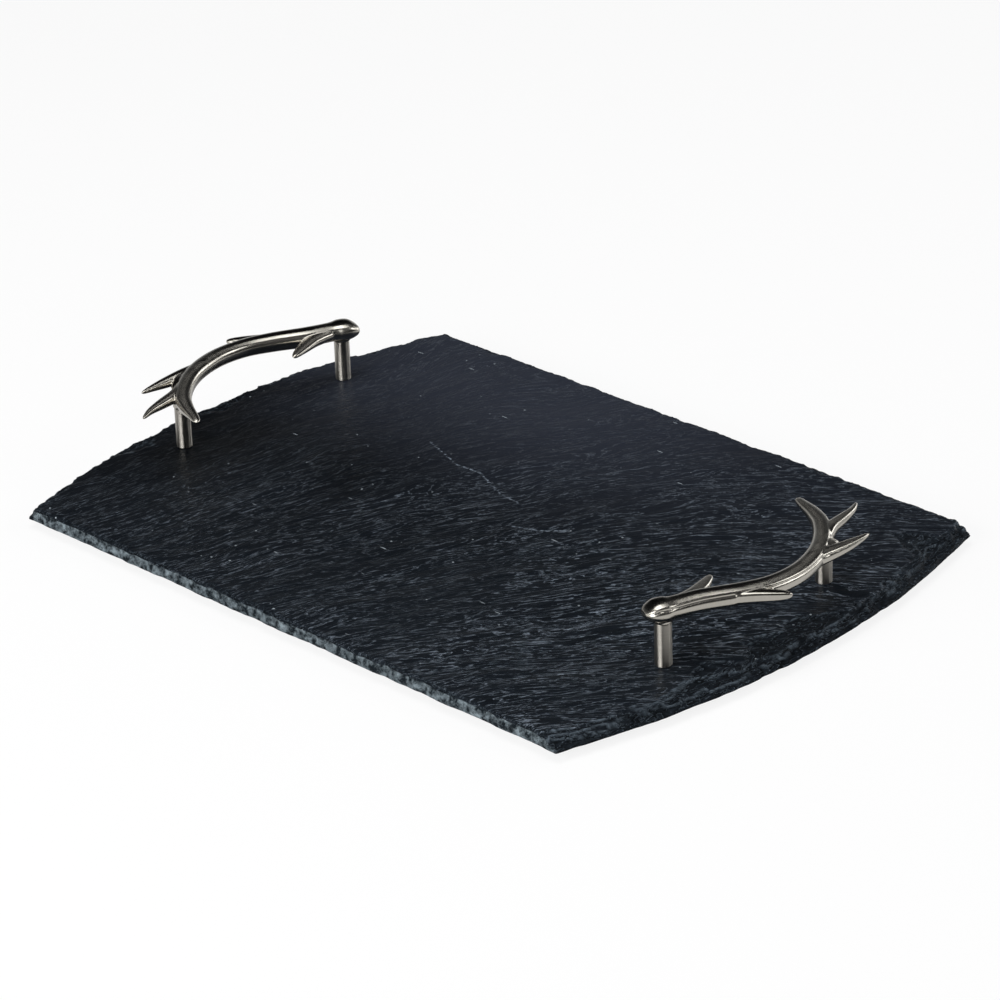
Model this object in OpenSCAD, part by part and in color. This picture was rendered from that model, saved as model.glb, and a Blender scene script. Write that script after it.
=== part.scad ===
// Slate serving board with two antler handles.
// The board stands on z = 0, its length runs along x and its width along y.

/* [Slate] */
// Length of the slate between its corners
slate_len = 314; // [260:1:480]
// Width of the slate
slate_w = 250; // [200:1:360]
// Thickness of the slate
slate_t = 6; // [5:0.5:10]
// How far the left end bows out past its corners
left_bow = 22.5; // [8:0.5:40]
// How far the right end bows out past its corners
right_bow = 19.5; // [8:0.5:40]
// Deepest bite that knapping took out of the outline
chip_depth = 0.9; // [0.2:0.1:1.5]
// Widest slope that knapping left along the long sides
side_slope = 1; // [0.3:0.1:2]
// Widest slope that knapping left along the bowed ends
end_slope = 3.2; // [0.5:0.1:6]

/* [Posts] */
// Spacing of the two posts of a handle
post_pitch = 96; // [84:1:128]
// Diameter of a post
post_d = 7; // [6:0.5:9]
// Height of a post, from the slate to its seat on the antler
post_h = 19; // [18:1:40]
// Chamfer round both ends of a post
post_chamfer = 0.4; // [0.2:0.1:0.8]
// From the crown of the left end to the left posts
left_inset = 28; // [26:0.5:60]
// From the crown of the right end to the right posts
right_inset = 31; // [26:0.5:60]
// How far the left handle stands behind the middle
left_shift = 8.5; // [0:0.5:20]
// How far the right handle stands in front of the middle
right_shift = 4.5; // [0:0.5:20]

/* [Antlers] */
// Width of an antler's beam at mid span
beam_w = 8.8; // [7.5:0.1:12]
// Thickness of an antler's beam at mid span
beam_t = 8; // [7:0.1:11]
// From the beam's middle plane down to the post seats
seat_drop = 4.9; // [4.7:0.1:7]
// How far the seat under the beam stands out past the post
seat_lip = 0.5; // [0.2:0.1:1]

/* [Fixings] */
// Diameter of the screw and stud threads
thread_d = 4; // [3:0.5:4]
// Room between a thread and its tapped hole, on the diameter
thread_play = 0.1; // [0.05:0.05:0.2]
// Room between a screw and its hole in the slate, on the diameter
hole_play = 0.5; // [0.3:0.1:1]
// Length of a screw below its head
screw_len = 16; // [14:0.5:16]
// Diameter of a screw's head
head_d = 8; // [7:0.5:9]
// Height of a screw's head
head_h = 2.4; // [2:0.1:2.6]
// Width of a slot of the cross recess
recess_w = 1; // [0.6:0.1:1.2]
// Length of a slot of the cross recess
recess_len = 4.4; // [3:0.1:5]
// Depth of the cross recess
recess_depth = 1.4; // [1:0.1:1.6]
// Diameter of a washer
washer_d = 9.5; // [9:0.5:14]
// Thickness of a washer
washer_t = 0.8; // [0.5:0.1:1]
// Length of a stud
stud_len = 11; // [8:0.5:11]
// Depth of a stud's hole in the antler
stud_hole = 6; // [5.5:0.1:6.5]

/* [Feet] */
// Diameter of a foot where it is stuck to the slate
foot_d = 14; // [10:1:24]
// Diameter of the flat that a foot stands on
foot_flat_d = 10; // [6:0.5:10]
// Height of a foot
foot_h = 4; // [3.8:0.1:8]
// From the slate's corners to the middle of a foot, along and across
foot_inset = 24; // [14:1:40]

/* [Hidden] */

// Smoothness of the round pieces
round_fn = 48;
// Run of a cut past the face that it opens
overrun = 1;
// Room left beyond the end of a screw or stud in its hole
end_room = 0.5;

// The outline is walked along the front, the right end, the back and the left end
side_steps = 34;
end_steps = 28;
slate_seed = 19;
outline_count = 2 * (side_steps + end_steps);
bites = rands(0, 1, outline_count, slate_seed);
slopes = rands(0, 1, outline_count, slate_seed + 1);
// Height of the proudest line of the knapped edge, as a share of the thickness
edge_mid_share = 0.35;
// Slope of the lower edge as a share of the upper one
lower_slope_share = 0.3;
// Least slope as a share of the widest
least_slope_share = 0.25;

slate_z = foot_h;
top_z = slate_z + slate_t;
seat_z = top_z + post_h;
beam_z = seat_z + seat_drop;

left_x = -(slate_len / 2 + left_bow - left_inset);
right_x = slate_len / 2 + right_bow - right_inset;
left_y = left_shift;
right_y = -right_shift;

// A walk from -1 to 1 along one side
function walk(i, steps) = 2 * i / steps - 1;

// How far an end bows past its corners, at a share from -1 to 1 across it
function bow_at(bow, share) =
    let (half = slate_w / 2, radius = (half * half + bow * bow) / (2 * bow))
    sqrt(radius * radius - half * half * share * share) - (radius - bow);

// Points of the clean outline, each with the way that points inwards and the edge's widest slope
function front_rows() = [for (i = [0:side_steps - 1])
    [walk(i, side_steps) * slate_len / 2, -slate_w / 2, 0, 1, side_slope]];
function right_rows() = [for (i = [0:end_steps - 1])
    [slate_len / 2 + bow_at(right_bow, walk(i, end_steps)),
     walk(i, end_steps) * slate_w / 2, -1, 0, end_slope]];
function back_rows() = [for (i = [0:side_steps - 1])
    [-walk(i, side_steps) * slate_len / 2, slate_w / 2, 0, -1, side_slope]];
function left_rows() = [for (i = [0:end_steps - 1])
    [-slate_len / 2 - bow_at(left_bow, walk(i, end_steps)),
     -walk(i, end_steps) * slate_w / 2, 1, 0, end_slope]];

outline_rows = concat(front_rows(), right_rows(), back_rows(), left_rows());

// One ring of the slate's edge, set back by the bites and by a share of the slopes
function edge_ring(slope_share, z) = [for (i = [0:outline_count - 1])
    let (row = outline_rows[i],
         slope = row[4] * (least_slope_share + (1 - least_slope_share) * slopes[i]),
         back = chip_depth * bites[i] + slope_share * slope)
    [row[0] + row[2] * back, row[1] + row[3] * back, z]];

proud_ring = edge_ring(0, edge_mid_share * slate_t);

// Rows of an antler's parts: place along the posts and place outwards, as shares of the post
// pitch, then half width, half thickness and rise over the middle plane, as shares of the beam's
// half width and half thickness. The last row is the tip.
beam_shares = [
    [-0.072, -0.040, 0.55, 0.30, -0.10],
    [-0.058, -0.034, 1.10, 0.70, -0.08],
    [-0.030, -0.020, 1.40, 1.08, 0],
    [0.008, -0.002, 1.42, 1.18, 0],
    [0.052, 0.016, 1.16, 1.06, 0],
    [0.167, 0.060, 1.11, 1.12, 0],
    [0.312, 0.137, 1.07, 1.09, 0],
    [0.448, 0.187, 1.02, 1.03, 0],
    [0.604, 0.195, 1.00, 1.00, 0],
    [0.760, 0.154, 0.96, 0.99, 0],
    [0.896, 0.077, 0.89, 0.95, 0],
    [1.012, -0.026, 0.86, 0.87, 0],
    [1.074, -0.120, 0.73, 0.72, 0],
    [1.116, -0.212, 0.53, 0.46, 0],
    [1.138, -0.258, 0.38, 0.28, 0],
    [1.146, -0.275, 0, 0, 0]];
brow_shares = [
    [0.083, 0.010, 1.05, 0.74, 0],
    [0.177, 0.002, 0.80, 0.60, -0.04],
    [0.276, -0.032, 0.48, 0.38, -0.08],
    [0.330, -0.054, 0.30, 0.26, -0.10],
    [0.364, -0.066, 0, 0, -0.10]];
mid_shares = [
    [0.250, 0.122, 0.70, 0.55, 0.06],
    [0.342, 0.194, 0.68, 0.40, 0.12],
    [0.409, 0.260, 0.54, 0.35, 0.08],
    [0.440, 0.296, 0.34, 0.26, 0.06],
    [0.453, 0.307, 0, 0, 0.06]];
inner_prong_shares = [
    [0.927, 0.073, 0.62, 0.66, 0],
    [1.021, 0.023, 0.66, 0.68, 0],
    [1.120, 0, 0.55, 0.55, 0],
    [1.203, -0.020, 0.36, 0.38, 0],
    [1.260, -0.046, 0.20, 0.22, 0],
    [1.280, -0.058, 0, 0, 0]];
outer_prong_shares = [
    [0.708, 0.160, 0.82, 0.85, 0],
    [0.833, 0.170, 0.73, 0.78, -0.06],
    [0.937, 0.175, 0.59, 0.60, -0.12],
    [1.021, 0.175, 0.39, 0.38, -0.12],
    [1.073, 0.172, 0.22, 0.22, -0.12],
    [1.092, 0.171, 0, 0, -0.12]];
web_shares = [
    [0.812, 0.128, 0.88, 0.80, 0],
    [0.896, 0.110, 0.98, 0.75, 0],
    [0.941, 0.104, 0.66, 0.58, 0],
    [0.961, 0.102, 0, 0, 0]];

// Outline of a beam's section, outwards and up, as shares of its half width and half thickness
section_shares = [[1.00, -0.05], [0.85, 0.52], [0.45, 0.87], [0, 1.00], [-0.45, 0.90],
    [-0.84, 0.58], [-1.00, 0.04], [-0.86, -0.50], [-0.48, -0.87], [0, -1.00],
    [0.48, -0.88], [0.87, -0.50]];
section_count = len(section_shares);
// Rings drawn from one row to the next
row_steps = 3;

function sized(shares) = [for (row = shares)
    [row[1] * post_pitch, row[0] * post_pitch, row[2] * beam_w / 2, row[3] * beam_t / 2,
     row[4] * beam_t / 2]];

// A smooth curve through the rows, from row b to row c
function blend(a, b, c, d, t) =
    b + (c - a) * t / 2 + (2 * a - 5 * b + 4 * c - d) * t * t / 2 + (3 * b - a - 3 * c + d) * t * t * t / 2;

function rail(rows) = concat(
    [for (i = [0:len(rows) - 2], s = [0:row_steps - 1])
        blend(rows[max(i - 1, 0)], rows[i], rows[i + 1], rows[min(i + 2, len(rows) - 1)], s / row_steps)],
    [rows[len(rows) - 1]]);

// Points of one limb of an antler: its rings, then its tip
function limb_points(shares) =
    let (rows = rail(sized(shares)), last = len(rows) - 1)
    concat(
        [for (i = [0:last - 1])
            let (ahead = rows[i + 1], behind = rows[max(i - 1, 0)],
                 way = [ahead[0] - behind[0], ahead[1] - behind[1]],
                 side = [way[1], -way[0]] / norm(way))
            for (p = section_shares)
                [rows[i][0] + side[0] * p[0] * rows[i][2],
                 rows[i][1] + side[1] * p[0] * rows[i][2],
                 rows[i][4] + p[1] * rows[i][3]]],
        [[rows[last][0], rows[last][1], rows[last][4]]]);

function reach(shares) = max([for (p = limb_points(shares)) p[0]]);

// The whole board's middle, from which everything is measured
low_x = min(min([for (p = proud_ring) p[0]]), left_x - reach(mid_shares));
high_x = max(max([for (p = proud_ring) p[0]]), right_x + reach(mid_shares));
low_y = min([for (p = proud_ring) p[1]]);
high_y = max([for (p = proud_ring) p[1]]);
middle = [(low_x + high_x) / 2, (low_y + high_y) / 2, 0];

left_rear = [left_x, left_y + post_pitch / 2, 0] - middle;
left_front = [left_x, left_y - post_pitch / 2, 0] - middle;
right_front = [right_x, right_y - post_pitch / 2, 0] - middle;
right_rear = [right_x, right_y + post_pitch / 2, 0] - middle;
post_places = [left_rear, left_front, right_front, right_rear];

foot_x = slate_len / 2 - foot_inset;
foot_y = slate_w / 2 - foot_inset;

module slate_body() {
    rings = [
        edge_ring(lower_slope_share, 0),
        proud_ring,
        edge_ring(1, slate_t)];
    points = [for (ring = rings) each ring];
    n = outline_count;
    polyhedron(points, concat(
        [[for (i = [0:n - 1]) i]],
        [for (r = [0:len(rings) - 2], i = [0:n - 1])
            [r * n + i, (r + 1) * n + i, (r + 1) * n + (i + 1) % n]],
        [for (r = [0:len(rings) - 2], i = [0:n - 1])
            [r * n + i, (r + 1) * n + (i + 1) % n, r * n + (i + 1) % n]],
        [[for (i = [n - 1:-1:0]) (len(rings) - 1) * n + i]]));
}

module slate_board() {
    color("#23262d")
        difference() {
            translate([0, 0, slate_z] - middle) slate_body();
            for (place = post_places)
                translate([place[0], place[1], slate_z - overrun])
                    cylinder(h = slate_t + 2 * overrun, d = thread_d + hole_play, $fn = round_fn);
        }
}

module limb(shares) {
    points = limb_points(shares);
    n = section_count;
    tip = len(points) - 1;
    rings = tip / n;
    polyhedron(points, concat(
        [[for (i = [n - 1:-1:0]) i]],
        [for (r = [0:rings - 2], i = [0:n - 1])
            [r * n + i, (r + 1) * n + (i + 1) % n, (r + 1) * n + i]],
        [for (r = [0:rings - 2], i = [0:n - 1])
            [r * n + i, r * n + (i + 1) % n, (r + 1) * n + (i + 1) % n]],
        [for (i = [0:n - 1]) [(rings - 1) * n + i, (rings - 1) * n + (i + 1) % n, tip]]));
}

// An antler on its own: its first post stands at the origin and its second along y
module antler_body() {
    difference() {
        union() {
            limb(beam_shares);
            limb(brow_shares);
            limb(mid_shares);
            limb(inner_prong_shares);
            limb(outer_prong_shares);
            limb(web_shares);
            for (along = [0, post_pitch])
                translate([0, along, -seat_drop])
                    cylinder(h = seat_drop, d = post_d + 2 * seat_lip, $fn = round_fn);
        }
        for (along = [0, post_pitch])
            translate([0, along, -seat_drop - overrun])
                cylinder(h = stud_hole + overrun, d = thread_d + thread_play, $fn = round_fn);
    }
}

module left_antler() {
    color("#a8a59f")
        translate([left_rear[0], left_rear[1], beam_z]) rotate([0, 0, 180]) antler_body();
}

module right_antler() {
    color("#a8a59f")
        translate([right_front[0], right_front[1], beam_z]) antler_body();
}

module post(place) {
    top_hole = stud_len - stud_hole + 2 * end_room;
    low_hole = screw_len - washer_t - slate_t + end_room;
    color("#b3b0aa")
        translate([place[0], place[1], top_z])
            difference() {
                union() {
                    cylinder(h = post_chamfer, d1 = post_d - 2 * post_chamfer, d2 = post_d, $fn = round_fn);
                    translate([0, 0, post_chamfer])
                        cylinder(h = post_h - 2 * post_chamfer, d = post_d, $fn = round_fn);
                    translate([0, 0, post_h - post_chamfer])
                        cylinder(h = post_chamfer, d1 = post_d, d2 = post_d - 2 * post_chamfer, $fn = round_fn);
                }
                translate([0, 0, -overrun])
                    cylinder(h = low_hole + overrun, d = thread_d + thread_play, $fn = round_fn);
                translate([0, 0, post_h - top_hole])
                    cylinder(h = top_hole + overrun, d = thread_d + thread_play, $fn = round_fn);
            }
}

module left_rear_post() {
    post(left_rear);
}

module left_front_post() {
    post(left_front);
}

module right_front_post() {
    post(right_front);
}

module right_rear_post() {
    post(right_rear);
}

module post_studs() {
    color("#8f8f8c")
        for (place = post_places)
            translate([place[0], place[1], seat_z + stud_hole - end_room - stud_len])
                cylinder(h = stud_len, d = thread_d, $fn = round_fn);
}

module fixing_screws() {
    color("#8f8f8c")
        for (place = post_places)
            translate([place[0], place[1], slate_z - washer_t])
                difference() {
                    union() {
                        cylinder(h = screw_len, d = thread_d, $fn = round_fn);
                        translate([0, 0, -head_h / 2])
                            cylinder(h = head_h / 2, d = head_d, $fn = round_fn);
                        translate([0, 0, -head_h])
                            cylinder(h = head_h / 2, d1 = head_d - head_h, d2 = head_d, $fn = round_fn);
                    }
                    for (turn = [0, 90])
                        rotate([0, 0, turn])
                            translate([-recess_len / 2, -recess_w / 2, -head_h - overrun])
                                cube([recess_len, recess_w, recess_depth + overrun]);
                }
}

module screw_washers() {
    color("#d9d6cd")
        for (place = post_places)
            translate([place[0], place[1], slate_z - washer_t])
                difference() {
                    cylinder(h = washer_t, d = washer_d, $fn = round_fn);
                    translate([0, 0, -overrun])
                        cylinder(h = washer_t + 2 * overrun, d = thread_d + hole_play, $fn = round_fn);
                }
}

// A foot stands on its narrow flat and swells up to the slate
module foot(along, across) {
    color("#3a3b3d")
        translate([along * foot_x, across * foot_y, 0] - middle)
            cylinder(h = foot_h, d1 = foot_flat_d, d2 = foot_d, $fn = round_fn);
}

module left_front_foot() {
    foot(-1, -1);
}

module right_front_foot() {
    foot(1, -1);
}

module right_rear_foot() {
    foot(1, 1);
}

module left_rear_foot() {
    foot(-1, 1);
}

slate_board();
left_antler();
right_antler();
left_rear_post();
left_front_post();
right_front_post();
right_rear_post();
post_studs();
fixing_screws();
screw_washers();
left_front_foot();
right_front_foot();
right_rear_foot();
left_rear_foot();
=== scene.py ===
# Slate serving board with two antler handles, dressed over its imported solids. Lengths are in metres.
import math

import bmesh
import bpy
import numpy as np
from mathutils import Matrix, Vector
from mathutils.geometry import delaunay_2d_cdt


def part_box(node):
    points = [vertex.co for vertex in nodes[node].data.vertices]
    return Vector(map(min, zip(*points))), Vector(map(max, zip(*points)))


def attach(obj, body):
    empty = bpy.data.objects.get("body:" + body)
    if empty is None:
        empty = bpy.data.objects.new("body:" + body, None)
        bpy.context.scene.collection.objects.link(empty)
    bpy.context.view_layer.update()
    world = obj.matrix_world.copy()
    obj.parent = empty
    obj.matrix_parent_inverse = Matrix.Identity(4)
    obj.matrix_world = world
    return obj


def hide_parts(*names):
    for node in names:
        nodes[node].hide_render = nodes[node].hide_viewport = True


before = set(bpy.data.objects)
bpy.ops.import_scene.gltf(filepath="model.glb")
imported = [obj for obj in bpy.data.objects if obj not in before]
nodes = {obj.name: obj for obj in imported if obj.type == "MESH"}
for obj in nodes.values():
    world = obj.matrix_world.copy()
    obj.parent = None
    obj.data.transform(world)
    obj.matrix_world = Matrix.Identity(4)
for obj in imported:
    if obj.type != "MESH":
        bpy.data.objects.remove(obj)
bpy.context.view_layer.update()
mm = 0.001


# Camera. A long lens looks down on the board from beyond its front right corner, turned by two
# degrees, as the photograph was taken.
azimuth, elevation, roll = math.radians(45.44), math.radians(25.55), math.radians(-2.0)
lens_mm, distance = 152.2, 1.785
aim_x, aim_z = 2.524 * mm, 4 * mm
shift_right, shift_up = 2.9 * mm, 11.4 * mm
away = Vector((
    math.sin(azimuth) * math.cos(elevation), -math.cos(azimuth) * math.cos(elevation), math.sin(elevation)))
level = Vector((math.cos(azimuth), math.sin(azimuth), 0))
rise = away.cross(level)
aim = Vector((aim_x, 0, aim_z)) + shift_right * level + shift_up * rise
camera = bpy.data.objects.new("camera", bpy.data.cameras.new("camera"))
camera.data.sensor_width = 36
camera.data.lens = lens_mm
camera.matrix_world = Matrix((
    math.cos(roll) * level + math.sin(roll) * rise,
    math.cos(roll) * rise - math.sin(roll) * level,
    away)).transposed().to_4x4()
camera.location = aim + distance * away
bpy.context.scene.collection.objects.link(camera)
bpy.context.scene.camera = camera


# Slate. One riven plate of blue-black slate, split along its grain and left unpolished, so its top
# is a low relief of thin layers. Its outline is knapped: small even chips along the two long sides,
# and broken layers in steps round the bowed ends.
def linear(code):
    """An sRGB hex colour as a linear colour."""
    parts = [int(code[i:i + 2], 16) / 255 for i in (1, 3, 5)]
    return tuple(c / 12.92 if c <= 0.04045 else ((c + 0.055) / 1.055) ** 2.4 for c in parts) + (1.0,)


def add(tree, kind, links=None, **settings):
    """A node with its settings, and with its inputs set or linked."""
    node = tree.nodes.new(kind)
    for name, value in settings.items():
        setattr(node, name, value)
    for socket, value in (links or {}).items():
        if isinstance(value, bpy.types.NodeSocket):
            tree.links.new(value, node.inputs[socket])
        else:
            node.inputs[socket].default_value = value
    return node


def lumps(x, y, size, seed):
    """Smooth random heights from -1 to 1, with lumps of about that size."""
    side = 256
    table = np.random.default_rng(seed).uniform(-1, 1, (side, side))
    u, v = np.asarray(x) / size, np.asarray(y) / size
    i, j = np.floor(u).astype(int), np.floor(v).astype(int)
    fu, fv = u - i, v - j
    fu, fv = fu * fu * (3 - 2 * fu), fv * fv * (3 - 2 * fv)
    near = table[i % side, j % side] * (1 - fv) + table[i % side, (j + 1) % side] * fv
    far = table[(i + 1) % side, j % side] * (1 - fv) + table[(i + 1) % side, (j + 1) % side] * fv
    return near * (1 - fu) + far * fu


def ease(t):
    """A step from 0 to 1 with a soft start and end."""
    t = np.clip(t, 0, 1)
    return t * t * (3 - 2 * t)


slate_low, slate_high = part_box("slate_board")
slate_top, slate_foot = slate_high.z / mm, slate_low.z / mm
half_w = slate_high.y / mm
# The ends bow out past the corners by so much
left_bow, right_bow = 22.5, 19.5
left_crown, right_crown = slate_low.x / mm, slate_high.x / mm
left_corner, right_corner = left_crown + left_bow, right_crown - right_bow


def bow_at(bow, y):
    """How far a bowed end stands out past its corners, in mm, at a place across the board."""
    radius = (half_w ** 2 + bow ** 2) / (2 * bow)
    return np.sqrt(radius ** 2 - np.clip(y, -half_w, half_w) ** 2) - (radius - bow)


def bite(run, seed):
    """What knapping took out of the outline, in mm, at a run along one side."""
    return np.clip(0.42 + 0.34 * lumps(run, 0, 11, seed) + 0.22 * lumps(run, 9, 4.3, seed)
                   + 0.12 * lumps(run, 5, 1.9, seed), 0, 1.3)


def near_corner(run, half):
    """0 at the corners of a side and 1 from 9 mm inwards."""
    return ease((half - np.abs(run)) / 9)


def graded(length, low_band, high_band, fine, coarse):
    """Shares from 0 to 1 that stand close together in a band at each end."""
    low_side, high_side = np.arange(0, low_band, fine), np.arange(0, high_band, fine)
    middle = np.linspace(low_band, length - high_band, int((length - low_band - high_band) / coarse) + 1)
    return np.concatenate([low_side, middle, length - high_side[::-1]]) / length


# The knapped rim slopes out under the top by 0.9 mm at the long sides and by 1.5 mm at the ends. Points
# of the top stand 0.4 to 0.5 mm apart near the rims and 1.2 mm apart elsewhere.
side_rim, end_rim = 0.9, 1.5
side_half = 157
along_shares = graded(350, 6, 17, 0.4, 1.15)
across_shares = graded(250, 4, 4, 0.5, 1.2)
share_x, share_y = np.meshgrid(along_shares, across_shares, indexing="ij")
plain_y = (2 * share_y - 1) * (half_w - side_rim)
plain_left = left_corner - bow_at(left_bow, plain_y)
plain_right = right_corner + bow_at(right_bow, plain_y)
plain_x = (1 - share_x) * plain_left + share_x * plain_right
front_y = -half_w + side_rim + bite(plain_x, 3) * near_corner(plain_x, side_half)
back_y = half_w - side_rim - bite(plain_x, 4) * near_corner(plain_x, side_half)
top_y = front_y + share_y * (back_y - front_y)
left_x = left_corner - bow_at(left_bow, top_y) + end_rim + bite(top_y, 5) * near_corner(top_y, half_w)
right_x = right_corner + bow_at(right_bow, top_y) - end_rim - bite(top_y, 6) * near_corner(top_y, half_w)
top_x = left_x + share_x * (right_x - left_x)


def grain_of(x, y):
    """Places along and across the grain. Its lines run across the board at the left end, turn to a
    diagonal at the right one, and wave a little."""
    left_end, length = -150, 300
    fan = (x - left_end) / length
    across = -0.99 * x + 0.00043 * (x - left_end) ** 2 + (0.09 + 0.6 * fan) * y
    return 0.4 * x + 0.92 * y, across + 5 * lumps(x, y, 58, 77) + 1.6 * lumps(x, y, 21, 78)


grain_along, grain_across = grain_of(top_x, top_y)


def layer_steps(gap, run, rows, seed, chip=0):
    """Depth in mm under the top at a gap from the rim, for layers that broke off in steps, and a share
    that is 1 on the steps. A chip widens them."""
    depth, step = np.zeros_like(gap), np.zeros_like(gap)
    for number, (thick, reach, power) in enumerate(rows):
        size = reach * 2.2 + 6
        share = 0.5 + 0.42 * lumps(run, number * 7.0, size, seed + number)
        share = share + 0.25 * lumps(run, 3.0, size / 3.1, seed + 9)
        reach_here = reach * (np.clip(share, 0.08, 1) ** power + chip)
        ragged = 0.16 * reach * lumps(top_x, top_y, 2.6, seed + number + 20)
        ragged = ragged + 0.3 * lumps(top_x, top_y, 1.1, seed)
        part = (reach_here + ragged - gap) / 0.5 + 0.5
        depth += thick * ease(part)
        step = np.maximum(step, np.clip(1.2 - np.abs(part + 0.1) / 0.6, 0, 1) * (number < 3))
    return np.stack([depth, step])


# Layers that broke off, the top one first: thickness, farthest reach from the rim, and unevenness
right_flakes = [(0.7, 17, 2.0), (1.0, 9.5, 1.4), (1.2, 5, 1.0), (1.0, 2.4, 0.8)]
left_flakes = [(0.6, 9, 2.0), (1.0, 5, 1.4), (1.1, 2.8, 1.0), (1.0, 1.5, 0.8)]
side_flakes = [(0.4, 3.2, 2.2), (0.7, 1.3, 1.0)]
# One wide chip lies near the back right corner, and 1.8 mm of stone is left under all the steps
least_stone = 1.8
corner_chip = 0.9 * np.exp(-((top_y - 97) / 8) ** 2)
broken = (layer_steps(right_x - top_x, top_y, right_flakes, 31, corner_chip)
          + layer_steps(top_x - left_x, top_y, left_flakes, 41))
broken[0] += (layer_steps(top_y - front_y, top_x, side_flakes, 51)[0]
              + layer_steps(back_y - top_y, top_x, side_flakes, 61)[0])
broken_rim_highlight = np.clip(broken[1], 0, 1)
broken = np.minimum(broken[0], slate_top - slate_foot - least_stone)


def marked_at_place(x, y):
    """1 at the right front, where the plate shows the most layers, and 0 at the left."""
    return ease((0.55 * x - 0.6 * y + 85) / 200)


# Thin layers end in wavy lines along the grain, over a slow swell
swell = 0.9 * lumps(grain_along / 3, grain_across, 17, 71)
swell += 0.55 * lumps(grain_along / 4, grain_across, 6.5, 72)
swell += 0.22 * lumps(grain_along / 3, grain_across, 2.7, 73)
stair = swell * 2.2
stair = np.floor(stair) + ease((stair - np.floor(stair)) / 0.35)
ripples = lumps(grain_along / 5, grain_across, 2.3, 74) + 0.6 * lumps(grain_along / 6, grain_across, 1.4, 75)
relief = 0.15 * (stair + 2) + 0.06 * (1 + swell) + 0.05 * (1.6 - ripples)
relief *= 0.4 + 0.6 * marked_at_place(top_x, top_y)
# The top is flat under each post, and its relief comes back over the next 6 mm
post_names = ("left_rear_post", "left_front_post", "right_front_post", "right_rear_post")
flat_r, flat_fade, deepest = 3.7, 6, 0.8
for name in post_names:
    low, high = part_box(name)
    x, y = (low.x + high.x) / 2 / mm, (low.y + high.y) / 2 / mm
    relief *= ease((np.hypot(top_x - x, top_y - y) - flat_r) / flat_fade)
top_z = slate_top - broken - np.clip(relief, 0, deepest)

rows_x, rows_y = top_x.shape
index = np.arange(rows_x * rows_y).reshape(rows_x, rows_y)
rim = np.concatenate([index[:-1, 0], index[-1, :-1], index[:0:-1, -1], index[0, :0:-1]])
points = [np.stack([top_x.ravel(), top_y.ravel(), top_z.ravel()], 1)]
faces = np.stack([index[:-1, :-1], index[1:, :-1], index[1:, 1:], index[:-1, 1:]], -1).reshape(-1, 4).tolist()
ring = points[0][rim]
ahead, behind = np.roll(ring, -2, 0), np.roll(ring, 2, 0)
outward = np.stack([(ahead - behind)[:, 1], -(ahead - behind)[:, 0]], 1)
outward /= np.linalg.norm(outward, axis=1)[:, None]
count = len(ring)
run = np.concatenate([[0], np.cumsum(np.linalg.norm(np.diff(ring[:, :2], axis=0), axis=1))])
on_end = np.abs(outward[:, 0])
reach_out = side_rim + (end_rim - side_rim) * ease(on_end)
# The rim leans out down to two thirds of its height and back a little under that, scalloped by chips
wall_rows, widest_at, fall_back = 11, 0.66, 0.28
last_ring = rim
for row in range(1, wall_rows + 1):
    q = row / wall_rows
    lean = math.sin(min(q / widest_at, 1) * math.pi / 2)
    lean -= fall_back * ease((q - widest_at) / (1 - widest_at))
    height = ring[:, 2] + (slate_foot - ring[:, 2]) * q
    scallop = np.abs(lumps(run + 0.5 * height, height / 2, 4.6, 81))
    scallop += 0.6 * np.abs(lumps(run - 0.4 * height, height / 2, 2.0, 82))
    dent = np.clip(1.1 * scallop - 0.12, 0, 1.2) * math.sin(math.pi * q) ** 0.5
    wall = ring[:, :2] + outward * (reach_out * lean - dent)[:, None]
    this_ring = np.arange(count) + sum(len(p) for p in points)
    points.append(np.column_stack([wall, height]))
    faces += np.stack([last_ring, this_ring, np.roll(this_ring, -1), np.roll(last_ring, -1)], 1).tolist()
    last_ring = this_ring
foot_ring = points[-1]

# The underside is split as flat as the layers let it, under a coarse net of points
net_step = 5.0
net_x, net_y = np.meshgrid(
    np.arange(left_crown + 3, right_crown - 2, net_step), np.arange(3 - half_w, half_w - 2, net_step))
inner = np.column_stack([net_x.ravel(), net_y.ravel()])
inside = ((inner[:, 0] > left_corner - bow_at(left_bow, inner[:, 1]) + 5)
          & (inner[:, 0] < right_corner + bow_at(right_bow, inner[:, 1]) - 5)
          & (np.abs(inner[:, 1]) < half_w - 4))
inner = inner[inside]
flat = [Vector(p[:2]) for p in foot_ring] + [Vector(p) for p in inner]
_, _, under_faces, _, _, _ = delaunay_2d_cdt(flat, [], [list(range(count))], 1, 1e-7)
start = sum(len(p) for p in points)
points.append(np.column_stack([inner, slate_foot + 0 * inner[:, 0]]))
renumber = np.concatenate([last_ring, np.arange(len(inner)) + start])
faces += [[int(renumber[i]) for i in reversed(face)] for face in under_faces]

points = np.concatenate(points)
points[:, 1] = np.clip(points[:, 1], -half_w, half_w)
slate_mesh = bpy.data.meshes.new("slate_board_riven")
slate_mesh.from_pydata((points * mm).tolist(), [], faces)
slate_mesh.update()
grain = np.column_stack([*grain_of(points[:, 0], points[:, 1]), points[:, 2]])
slate_mesh.attributes.new("grain", "FLOAT_VECTOR", "POINT").data.foreach_set("vector", (grain * mm).ravel())
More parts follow.
